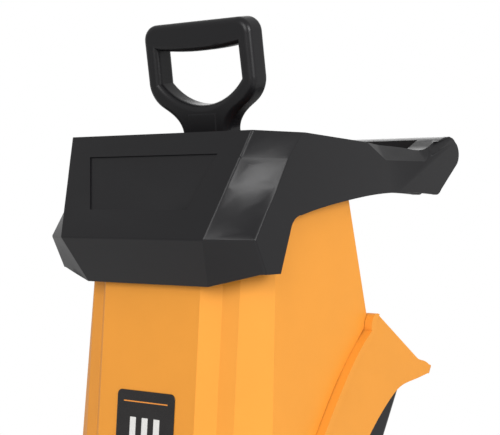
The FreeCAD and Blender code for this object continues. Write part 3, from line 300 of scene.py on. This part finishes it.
def bar(section, place, stations):
    """Closed bar: a section of (u, v) points carried through the stations by place(u, v, station)."""
    count = len(section)
    points = [place(u, v, station) for station in stations for u, v in section]
    faces = [tuple(range(count)), tuple(range(len(points) - count, len(points)))]
    for start in range(0, len(points) - count, count):
        for k in range(count):
            turn = (k + 1) % count
            faces.append((start + k, start + turn, start + count + turn, start + count + k))
    return points, faces


COWL_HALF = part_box("motor_cowl")[1].x / MM      # half width of the cowl at its foot
COWL_FOOT, COWL_TAPER = 24.0, 7 / 322           # head height of its foot; how much it narrows per mm upwards
SLAT_ROWS, SLAT_LOW, SLAT_PITCH = 9, 72, 10
SLAT_SECTION = [(-1.5, 0), (0.2, 0), (1.6, -0.7), (2.4, -1.9),      # outwards from the cowl, and up
                (2.3, -3.0), (1.6, -3.6), (0.2, -4.0), (-1.5, -4.0)]
SLAT_STATIONS = [(6, 0.625), (8, 1), (42, 1), (44, 0.625)]          # place along a slat, share of its swell
SLAT_EDGE = 0.25


def slat(side, top):
    """One hooded slat on a side of the cowl, with its upper edge at head height top."""
    half = COWL_HALF - COWL_TAPER * (top - COWL_FOOT)

    def place(u, v, station):
        y, share = station
        return head_point(side * (half + (u * share if u > 0 else u)), y, top + v)
    return bar(SLAT_SECTION, place, SLAT_STATIONS)


def louvres():
    """Rows of hooded slats over the air inlets low on both sides of the motor cowl."""
    for side, name in ((-1, "louvres_left"), (1, "louvres_right")):
        slats = [slat(side, SLAT_LOW + SLAT_PITCH * row) for row in range(SLAT_ROWS)]
        new_piece(name, slats, "base", SLOT_OF["motor_cowl"], SLAT_EDGE)


louvres()


# ---------------------------------------------------------------- floor, light and camera
FLOOR_RADIUS = 2.3
BACKDROP, ROOM = 1.0, 0.55              # strength of the white behind the object and of the light all round
LIGHTS = {                              # size, watts, place, point it faces
    "key": ((1.4, 1.4), 33, (0.75, -2.5, 1.75), (0, 0, 0.8)),
    "side": ((0.9, 1.0), 27, (2.15, -0.30, 1.60), (0, 0, 0.85)),
    "back": ((1.6, 1.2), 10, (-1.5, 2.1, 1.8), (0, 0, 0.8)),
}
CAMERA_AIM, CAMERA_DISTANCE = Vector((0, 0.050, 0.877)), 1.280
CAMERA_AZIMUTH, CAMERA_DIP = math.radians(36.5), math.radians(0.649)
CAMERA_LENS = 92.16


def floor():
    bpy.ops.mesh.primitive_circle_add(vertices=128, radius=FLOOR_RADIUS, fill_type="NGON",
                                      location=(0, 0, 0))
    obj = bpy.context.object
    obj.name = "floor"
    mat, tree, bsdf, coords = shader("floor_paper")
    paper = ramp(tree, noise(tree, coords, scale=3.0), (0.3, (0.80, 0.80, 0.80)), (0.7, (0.84, 0.84, 0.84)))
    tree.links.new(paper, bsdf.inputs["Base Color"])
    bsdf.inputs["Roughness"].default_value = 0.9
    obj.data.materials.append(mat)


def surroundings():
    """White backdrop for the camera, and a dimmer white room for everything else."""
    world = bpy.data.worlds.new("studio")
    world.use_nodes = True
    tree = world.node_tree
    seen = tree.nodes["Background"]
    seen.inputs["Color"].default_value, seen.inputs["Strength"].default_value = (1, 1, 1, 1), BACKDROP
    room = add(tree, "ShaderNodeBackground", Color=(1, 1, 1, 1), Strength=ROOM)
    ray = add(tree, "ShaderNodeLightPath")
    mix = add(tree, "ShaderNodeMixShader")
    tree.links.new(ray.outputs["Is Camera Ray"], mix.inputs[0])
    tree.links.new(room.outputs[0], mix.inputs[1])
    tree.links.new(seen.outputs[0], mix.inputs[2])
    tree.links.new(mix.outputs[0], tree.nodes["World Output"].inputs["Surface"])
    bpy.context.scene.world = world


def lamp(name, size, power, place, target):
    light = bpy.data.lights.new(name, "AREA")
    light.shape, light.size, light.size_y = "RECTANGLE", size[0], size[1]
    light.energy = power
    obj = bpy.data.objects.new(name, light)
    bpy.context.scene.collection.objects.link(obj)
    obj.location = place
    obj.rotation_euler = (Vector(target) - Vector(place)).to_track_quat("-Z", "Y").to_euler()


def camera():
    """Nearly level three-quarter view of the upper part."""
    data = bpy.data.cameras.new("camera")
    data.lens = CAMERA_LENS
    data.clip_start, data.clip_end = 0.02, 50.0
    obj = bpy.data.objects.new("camera", data)
    bpy.context.scene.collection.objects.link(obj)
    outwards = Vector((math.sin(CAMERA_AZIMUTH), -math.cos(CAMERA_AZIMUTH), 0))
    obj.location = CAMERA_AIM + outwards * CAMERA_DISTANCE
    obj.rotation_euler = (math.radians(90) - CAMERA_DIP, 0, CAMERA_AZIMUTH)
    bpy.context.scene.camera = obj
    bpy.context.scene.view_settings.view_transform = "Standard"


floor()
surroundings()
for lamp_name, values in LIGHTS.items():
    lamp(lamp_name, *values)
camera()
